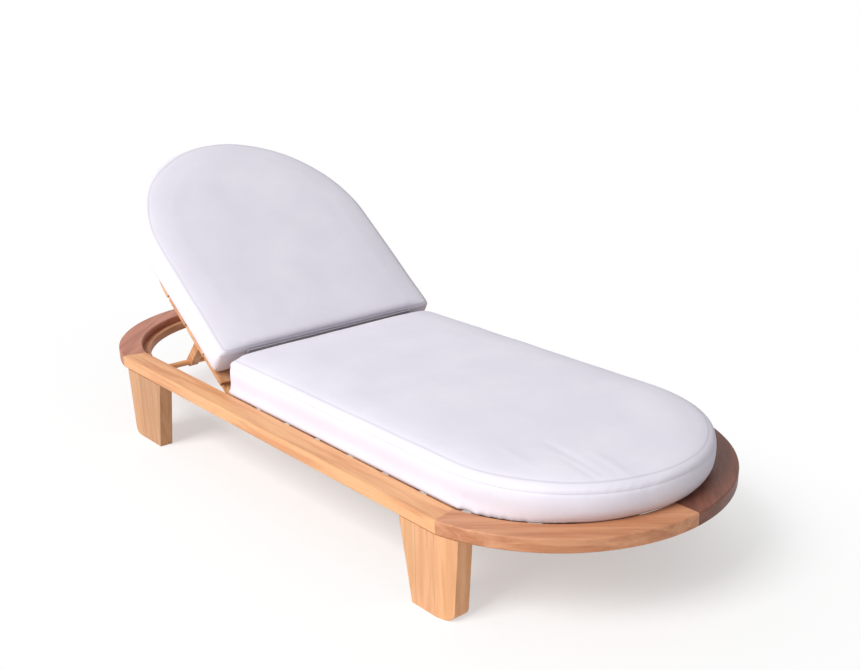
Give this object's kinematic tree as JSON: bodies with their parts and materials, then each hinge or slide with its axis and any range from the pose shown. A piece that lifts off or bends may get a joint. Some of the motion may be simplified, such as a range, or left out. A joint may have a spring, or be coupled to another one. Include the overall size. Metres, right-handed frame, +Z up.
{
  "type": "relaxation lounger",
  "caption": "Low wooden relaxation lounger with a rounded ring frame on board legs, a seat cushion and a propped, reclining back with its own cushion",
  "frame": {"origin": "on the floor, under the middle of the frame", "axes": "+X toward the foot end, +Y toward the far side, +Z up"},
  "size_m": [2, 0.82, 0.7454],
  "materials": {
    "frame_wood": "clear lacquered solid alder or beech, satin",
    "slat_wood": "sawn and planed softwood, untreated",
    "cushion_fabric": "pale smooth woven cover",
    "steel": "zinc plated"
  },
  "bodies": {
    "base": {"far_back_ledger": "slat_wood", "far_pivot_block": "frame_wood", "far_rack": "frame_wood", "far_seat_ledger": "slat_wood", "far_side_rail": "frame_wood", "foot_far_ledger": "slat_wood", "foot_far_leg": "frame_wood", "foot_far_ring_quarter": "frame_wood", "foot_near_ledger": "slat_wood", "foot_near_leg": "frame_wood", "foot_near_ring_quarter": "frame_wood", "head_far_ledger": "slat_wood", "head_far_leg": "frame_wood", "head_far_ring_quarter": "frame_wood", "head_near_ledger": "slat_wood", "head_near_leg": "frame_wood", "head_near_ring_quarter": "frame_wood", "near_back_ledger": "slat_wood", "near_pivot_block": "frame_wood", "near_rack": "frame_wood", "near_seat_ledger": "slat_wood", "near_side_rail": "frame_wood", "pivot_bolts": "steel", "seat_cushion": "cushion_fabric", "seat_slat_1": "slat_wood", "seat_slat_2": "slat_wood", "seat_slat_3": "slat_wood", "seat_slat_4": "slat_wood", "seat_slat_5": "slat_wood", "seat_slat_6": "slat_wood", "seat_slat_7": "slat_wood", "seat_slat_8": "slat_wood", "seat_slat_9": "slat_wood"},
    "back_frame": {"back_cross_rail": "frame_wood", "back_slat_1": "slat_wood", "back_slat_2": "slat_wood", "back_slat_3": "slat_wood", "back_slat_4": "slat_wood", "back_slat_5": "slat_wood", "back_slat_6": "slat_wood", "far_back_rail": "frame_wood", "far_head_rail": "frame_wood", "near_back_rail": "frame_wood", "near_head_rail": "frame_wood", "prop_bolts": "steel", "prop_spacers": "steel"},
    "back_pad": {"back_cushion": "cushion_fabric", "fold_strip": "cushion_fabric"},
    "prop": {"far_prop_arm": "frame_wood", "near_prop_arm": "frame_wood", "prop_crossbar": "frame_wood"}
  },
  "joints": [
    {"name": "back_recline", "type": "hinge", "parent": "base", "child": "back_frame", "pos_m": [-0.2484, 0, 0.1891], "axis": [0, 1, 0], "range_deg": [-37.1, 17.9]},
    {"name": "pad_slide", "type": "slide", "parent": "back_frame", "child": "back_pad", "axis": [-0.7976, 0, 0.6032], "range_m": [-0.08162, 0.03943]},
    {"name": "prop_fold", "type": "hinge", "parent": "back_frame", "child": "prop", "pos_m": [-0.45021, 0, 0.33671], "axis": [0, 1, 0], "range_deg": [-37.76, 78.25]}
  ],
  "couplings": [
    {"joint": "pad_slide", "follows": "back_recline", "m_per_rad": 0.1259},
    {"joint": "prop_fold", "follows": "back_recline", "ratio": -2.109}
  ]
}
